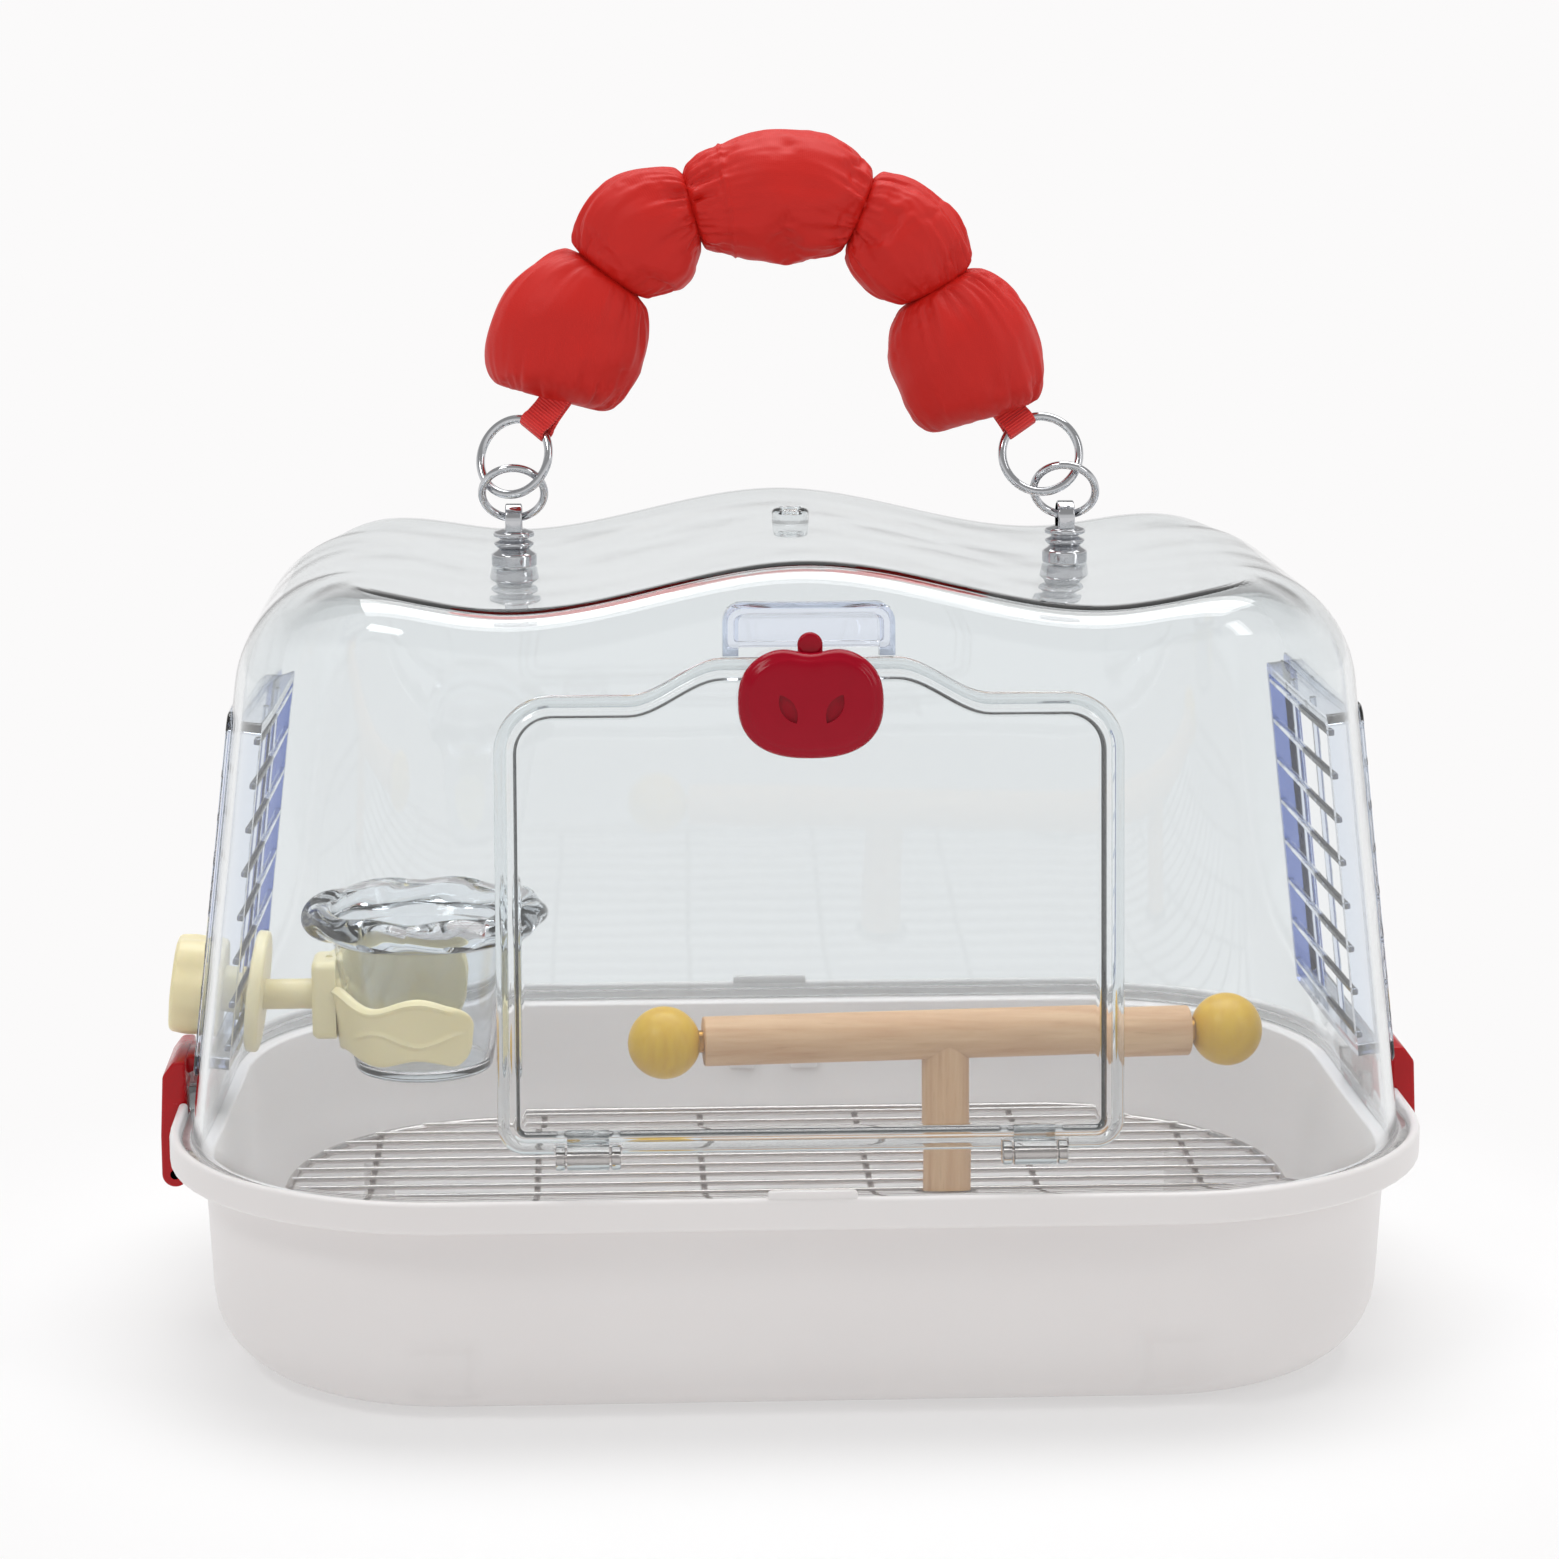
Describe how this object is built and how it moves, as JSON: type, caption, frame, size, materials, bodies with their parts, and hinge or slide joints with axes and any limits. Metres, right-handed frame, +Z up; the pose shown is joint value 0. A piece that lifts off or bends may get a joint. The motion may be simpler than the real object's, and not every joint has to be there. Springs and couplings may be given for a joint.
{
  "type": "bird travel carrier",
  "caption": "Clear-domed travel carrier for a small bird, on a white tray, with front door, side vents, feeder cup, T perch on a wire floor and a padded carrying handle.",
  "frame": {"origin": "middle of the tray's underside, on the surface it stands on", "axes": "+X to the right seen from the front (along the long side), +Y to the back, +Z up; the door faces -Y"},
  "size_m": [0.3814, 0.25, 0.3586],
  "materials": {
    "white_plastic": "satin",
    "clear_plastic": "gloss",
    "vent_plastic": "gloss",
    "red_plastic": "gloss",
    "cream_plastic": "satin",
    "steel_wire": "satin",
    "chrome": "polished",
    "brass": "polished",
    "wood": "natural",
    "yellow_paint": "painted",
    "red_fabric": "woven"
  },
  "bodies": {
    "base": {"tray": "white_plastic", "latch_hinge_pins": "steel_wire"},
    "latch_left": {"latch_left": "red_plastic"},
    "latch_right": {"latch_right": "red_plastic"},
    "floor": {"wire_floor": "steel_wire", "perch_post": "wood", "perch_bar": "wood", "perch_ball_left": "yellow_paint", "perch_ball_right": "yellow_paint", "ball_screws": "brass", "floor_stud": "steel_wire", "floor_washer": "steel_wire", "floor_nut": "steel_wire"},
    "dome": {"dome_shell": "clear_plastic", "catch_pins": "steel_wire", "vent_left": "vent_plastic", "vent_right": "vent_plastic", "door_catch": "clear_plastic", "top_plug": "clear_plastic", "swivel_base_left": "chrome", "swivel_base_right": "chrome", "swivel_nuts": "chrome", "feeder_bracket": "cream_plastic", "door_hinge_pins": "steel_wire"},
    "door": {"door_panel": "clear_plastic"},
    "door_latch": {"door_latch": "red_plastic", "latch_retainer": "red_plastic"},
    "knob": {"feeder_knob": "cream_plastic"},
    "cup": {"feeder_cup": "clear_plastic"},
    "swivel_left": {"swivel_head_left": "chrome"},
    "swivel_right": {"swivel_head_right": "chrome"},
    "handle": {"small_ring_left": "chrome", "small_ring_right": "chrome", "big_ring_left": "chrome", "big_ring_right": "chrome", "strap_tab_left": "red_fabric", "strap_tab_right": "red_fabric", "handle_pad": "red_fabric"}
  },
  "joints": [
    {"name": "latch_left_open", "type": "hinge", "parent": "base", "child": "latch_left", "pos_m": [-0.1867, 0, 0.0475], "axis": [0, -1, 0], "range_deg": [0, 100]},
    {"name": "latch_right_open", "type": "hinge", "parent": "base", "child": "latch_right", "pos_m": [0.1867, 0, 0.0475], "axis": [0, 1, 0], "range_deg": [0, 100]},
    {"name": "floor_lift", "type": "slide", "parent": "base", "child": "floor", "axis": [0, 0, 1], "range_m": [0, 0.03]},
    {"name": "dome_lift", "type": "slide", "parent": "base", "child": "dome", "axis": [0, 0, 1], "range_m": [0, 0.15]},
    {"name": "door_open", "type": "hinge", "parent": "dome", "child": "door", "pos_m": [0, -0.12069, 0.08124], "axis": [1, 0, 0], "range_deg": [0, 108]},
    {"name": "door_latch_turn", "type": "hinge", "parent": "door", "child": "door_latch", "pos_m": [0, -0.10813, 0.20683], "axis": [0, -0.993, 0.1184], "range_deg": [0, 90]},
    {"name": "knob_turn", "type": "hinge", "parent": "dome", "child": "knob", "pos_m": [-0.17463, 0, 0.10167], "axis": [-0.993, 0, 0.1184], "continuous": true},
    {"name": "cup_lift", "type": "slide", "parent": "dome", "child": "cup", "axis": [0, 0, 1], "range_m": [0, 0.06]},
    {"name": "swivel_left_turn", "type": "hinge", "parent": "dome", "child": "swivel_left", "pos_m": [-0.0825, 0, 0.2437], "axis": [0, 0, 1], "range_deg": [-12, 12]},
    {"name": "swivel_right_turn", "type": "hinge", "parent": "dome", "child": "swivel_right", "pos_m": [0.0825, 0, 0.2437], "axis": [0, 0, 1], "range_deg": [-12, 12]},
    {"name": "handle_swing", "type": "hinge", "parent": "dome", "child": "handle", "pos_m": [0, 0, 0.2437], "axis": [1, 0, 0], "range_deg": [-70, 70]}
  ]
}
